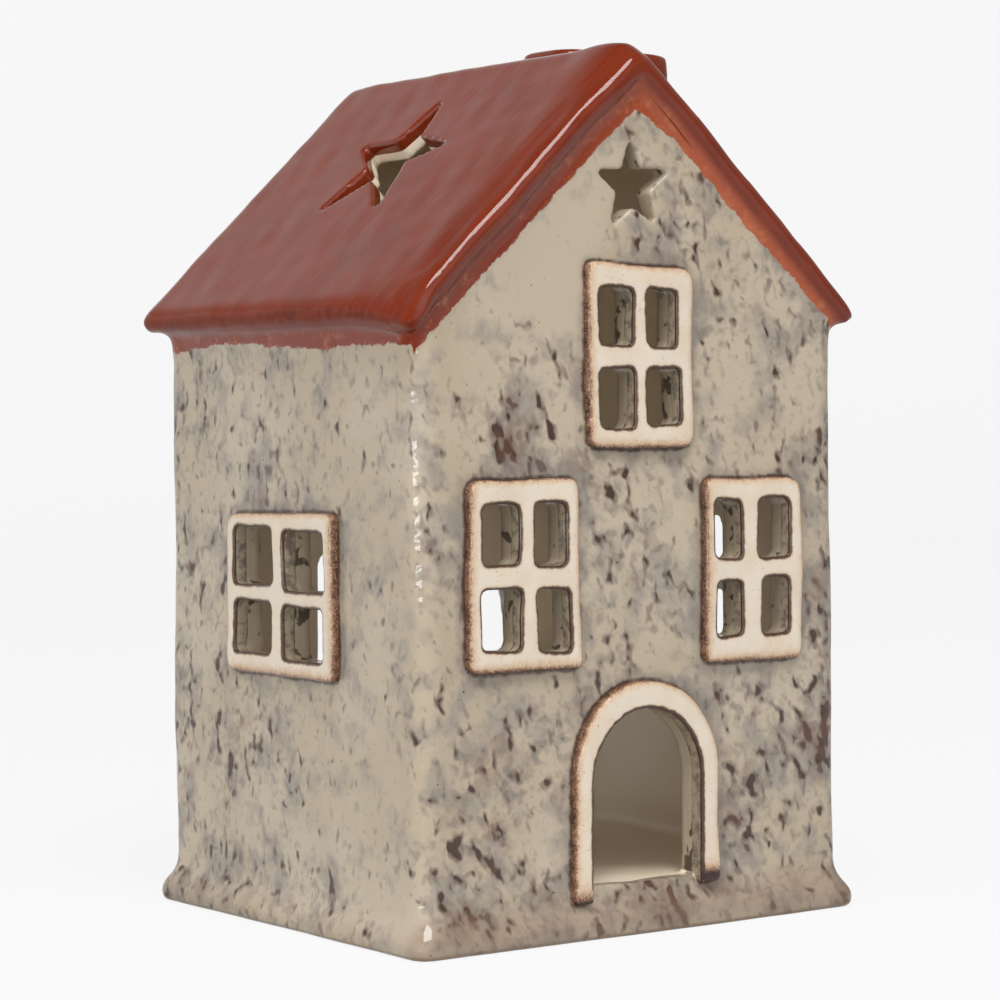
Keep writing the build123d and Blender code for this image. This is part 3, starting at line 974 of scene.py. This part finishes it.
# Tealight
# A deep-drawn aluminium cup with a rolled rim, filled with paraffin wax. A plaited cotton wick
# stands in it on a small pressed tin foot.
def turned(name, profile, middle, turns=96, lobes=0, lobe_depth=0.0, twist=0.0):
    """A closed round solid of a profile of radius and height, with twisted lobes if asked for."""
    solid = bmesh.new()
    rows = []
    for radius, height in profile:
        row = []
        for place in range(turns if radius else 1):
            turn = 2 * pi * place / turns
            reach = radius - lobe_depth * abs(sin(lobes * turn / 2 + twist * height)) * (radius > 0)
            aside = np.array((reach * cos(turn), reach * sin(turn)))
            row.append(solid.verts.new((*(middle + aside), height)))
        rows.append(row)
    for low, high in zip(rows, rows[1:] + rows[:1]):
        for place in range(turns):
            below = [low[place - 1], low[place]] if len(low) > 1 else low
            above = [high[place], high[place - 1]] if len(high) > 1 else high
            if len(below + above) > 2:
                solid.faces.new(below + above)
    made = new_object(name, solid)
    write_points(made.data, read_points(made.data) * MM)
    return made


def simple_surface(name, colour, other, grain_size, grain_height, **settings):
    """A surface of two close tones in a fine grain. The settings are the shader's own."""
    made, add, mm = new_material(name)
    grain = add("TexNoise", mm, 1 / grain_size, 3.0)
    tint = add("Mix", add("MapRange", grain, 0.3, 0.7), colour, other)
    bump = add("Bump", Distance=grain_height * MM, Height=grain)
    shader = add("BsdfPrincipled", tint, Normal=bump, **settings)
    add("OutputMaterial", shader)
    return made


cup_low, cup_high = box_mm("tealight_cup")
light_middle = (cup_low + cup_high)[:2] / 2
radius = (cup_high - cup_low)[0] / 2
cup_floor, rim = cup_low[2], cup_high[2]
foil = 0.3
cup_profile = [
    (0, cup_floor + 0.25),
    (radius - 4, cup_floor + 0.25),
    (radius - 3.2, cup_floor),
    (radius - 1.4, cup_floor),
    (radius - 0.9, cup_floor + 0.5),
    (radius - 0.5, cup_floor + 3),
    (radius - 0.45, rim - 0.8),
    (radius - 0.1, rim - 0.75),
    (radius, rim - 0.4),
    (radius - 0.12, rim - 0.08),
    (radius - 0.4, rim),
    (radius - 0.7, rim - 0.1),
    (radius - 0.75, rim - 0.6),
    (radius - 0.5 - foil, cup_floor + 3),
    (radius - 1.2, cup_floor + 0.5 + foil),
    (radius - 1.6, cup_floor + foil),
    (radius - 3.3, cup_floor + foil),
    (radius - 4, cup_floor + 0.25 + foil),
    (0, cup_floor + 0.25 + foil),
]
cup = turned("cup", cup_profile, light_middle, 192)
# Drawn aluminium has a soft grey shine. Its grain is drawn coarser than it is, so that it shows
aluminium = simple_surface("drawn_aluminium", "#cfd1d2", "#bfc2c4", 0.8, 0.02, Metallic=1.0, Roughness=0.28)
dress(cup, "tealight_cup", "tealight", aluminium)

wax_low, wax_high = box_mm("tealight_wax")
wick_low, wick_high = box_mm("tealight_wick")
foot_low, foot_high = box_mm("wick_sustainer")
wick_radius = (wick_high - wick_low)[0] / 2
disc_radius = (foot_high - foot_low)[0] / 2
neck_radius = 1.5
disc_top = foot_low[2] + 0.4
fit = 0.1
wax_radius = (wax_high - wax_low)[0] / 2 - 0.3
wax_top = wax_high[2]
wax_profile = [
    (disc_radius + fit, wax_low[2] + fit),
    (wax_radius - 1.2, wax_low[2] + fit),
    (wax_radius - 0.5, wax_low[2] + 3),
    (wax_radius, wax_top - 0.4),
    (wax_radius, wax_top),
    (wax_radius - 0.5, wax_top - 0.3),
    (wax_radius - 1.6, wax_top - 0.5),
    (10, wax_top - 0.6),
    (4.5, wax_top - 0.8),
    (2.2, wax_top - 0.7),
    (wick_radius + 0.25, wax_top - 0.25),
    (wick_radius + fit / 2, wax_top - 0.2),
    (wick_radius + fit / 2, foot_high[2] + fit),
    (neck_radius + fit, foot_high[2] + fit),
    (neck_radius + fit, disc_top + fit),
    (disc_radius + fit, disc_top + fit),
]
wax = turned("wax", wax_profile, light_middle)
# Paraffin wax is white and cloudy, because light goes a little way into it
paraffin = simple_surface(
    "paraffin_wax",
    "#f0ece2",
    "#e6e1d4",
    3.0,
    0.05,
    Roughness=0.4,
    Subsurface_Weight=0.6,
    Subsurface_Radius=(0.004, 0.003, 0.002),
    Subsurface_Scale=1.0,
)
dress(wax, "tealight_wax", "tealight", paraffin)

wick_profile = [(0, wick_low[2])]
for share in np.linspace(0, 1, 60):
    tapered = wick_radius * (1 - 0.25 * ramp(share, 0.95, 1))
    wick_profile.append((tapered, wick_low[2] + share * (wick_high[2] - wick_low[2])))
wick_profile.append((0, wick_high[2]))
wick = turned("wick", wick_profile, light_middle, 36, 6, 0.2, 1.6)
# Waxed cotton is off-white and matt, with a fine fuzz
cotton = simple_surface("waxed_cotton", "#ece6d6", "#d8cfba", 0.3, 0.1, Roughness=0.7)
dress(wick, "tealight_wick", "tealight", cotton)

tin_profile = [
    (wick_radius, foot_low[2]),
    (disc_radius - 0.3, foot_low[2]),
    (disc_radius, foot_low[2] + 0.12),
    (disc_radius - 0.25, foot_low[2] + 0.35),
    (disc_radius - 1.5, disc_top - 0.15),
    (neck_radius + 0.6, disc_top),
    (neck_radius, disc_top + 0.5),
    (neck_radius - 0.15, foot_high[2] - 0.3),
    (neck_radius - 0.4, foot_high[2]),
    (wick_radius, foot_high[2]),
]
tin = turned("tin", tin_profile, light_middle, 72)
# Pressed tinplate is greyer and duller than the cup
tinplate = simple_surface("tinplate", "#b9bcc0", "#a9acb0", 1.5, 0.03, Metallic=1.0, Roughness=0.35)
dress(tin, "wick_sustainer", "tealight", tinplate)

# Studio: a white paper sweep, one softbox over the front left and a small one low on the left
# The sky is brightest to the front left, as a wide white screen is, and dim overhead.
sweep = bmesh.new()
side_reach, bend_y, bend_radius, sweep_top = 3.0, 1.2, 0.5, 0.9
section = [(-side_reach, 0), (bend_y, 0)]
for step in range(1, 9):
    turn = pi / 2 * step / 8
    section.append((bend_y + bend_radius * sin(turn), bend_radius - bend_radius * cos(turn)))
section.append((bend_y + bend_radius, sweep_top))
rows = [[sweep.verts.new((x, y, z)) for y, z in section] for x in (-side_reach, side_reach)]
for i in range(len(section) - 1):
    sweep.faces.new((rows[0][i], rows[1][i], rows[1][i + 1], rows[0][i + 1]))
backdrop = new_object("paper_sweep", sweep)
# The paper is matt, and shows itself an even white to the camera, and in glaze and metal
paper, add, _ = new_material("white_paper")
path = add("LightPath")
seen = path.outputs["Is Camera Ray"]
for kind in ("Glossy", "Transmission"):
    seen = add("Math", seen, path.outputs["Is " + kind + " Ray"], operation="MAXIMUM")
seen = add("Math", seen, 0.86, 0.0)
matt = add("BsdfDiffuse", "#d2d2d2")
glow = add("Emission", "#ffffff", 1.0)
add("OutputMaterial", add("MixShader", seen, matt, glow))
finish_surface(backdrop, paper)

world = bpy.data.worlds.new("studio")
bpy.context.scene.world = world
world.use_nodes = True
world.node_tree.nodes.clear()
add = partial(add_node, world.node_tree)
way_to = add("TexCoord").outputs["Generated"]
way = add("SeparateXYZ", way_to)
front_left = add("VectorMath", way_to, (-0.7, -0.7, 0.0), operation="DOT_PRODUCT")
screen = add("MapRange", front_left.outputs["Value"], 0.2, 0.9, 0.0, 1.35)
sky = add("Math", add("MapRange", way.outputs["Y"], 0.3, 0.8, 0.0, 0.2), 1.0, screen)
sky = add("Math", sky, 1.0, 0.35)
overhead = add("MapRange", way.outputs["Z"], 0.5, 0.8, 1.0, 0.35)
sky = add("Math", sky, overhead, 0.0)
add("OutputWorld", add("Background", "#ffffff", sky))


def soft_box(name, at, width, height, power):
    """A softbox that looks at the middle of the house."""
    lamp = bpy.data.lights.new(name, "AREA")
    lamp.shape = "RECTANGLE"
    lamp.size, lamp.size_y, lamp.energy = width, height, power
    made = bpy.data.objects.new(name, lamp)
    bpy.context.scene.collection.objects.link(made)
    made.location = at
    made.rotation_mode = "QUATERNION"
    made.rotation_quaternion = (Vector((0, 0, 0.09)) - Vector(at)).to_track_quat("-Z", "Y")


soft_box("main_softbox", (-0.22, -0.48, 1.06), 0.5, 0.5, 9.2)
soft_box("side_softbox", (-1.1, -0.38, 0.067), 0.75, 0.05, 1.6)

# Camera
# A long lens at the height of the lower windows, turned to the front and a little to the left.
camera_data = bpy.data.cameras.new("camera")
camera = bpy.data.objects.new("camera", camera_data)
bpy.context.scene.collection.objects.link(camera)
camera.location = Vector((-358.36, -511.52, 99.88)) * MM
yaw, dip, roll = 0.6129, 0.0295, -0.0111
look = Vector((sin(yaw) * cos(dip), cos(yaw) * cos(dip), -sin(dip)))
right = Vector((cos(yaw), -sin(yaw), 0))
above = right.cross(look)
tilted_right = right * cos(roll) + above * sin(roll)
tilted_above = above * cos(roll) - right * sin(roll)
camera.rotation_mode = "QUATERNION"
camera.rotation_quaternion = Matrix((tilted_right, tilted_above, -look)).transposed().to_quaternion()
camera_data.sensor_width = 36
camera_data.lens = 111.13
camera_data.clip_start, camera_data.clip_end = 0.05, 20
bpy.context.scene.camera = camera
bpy.context.scene.view_settings.view_transform = "Standard"
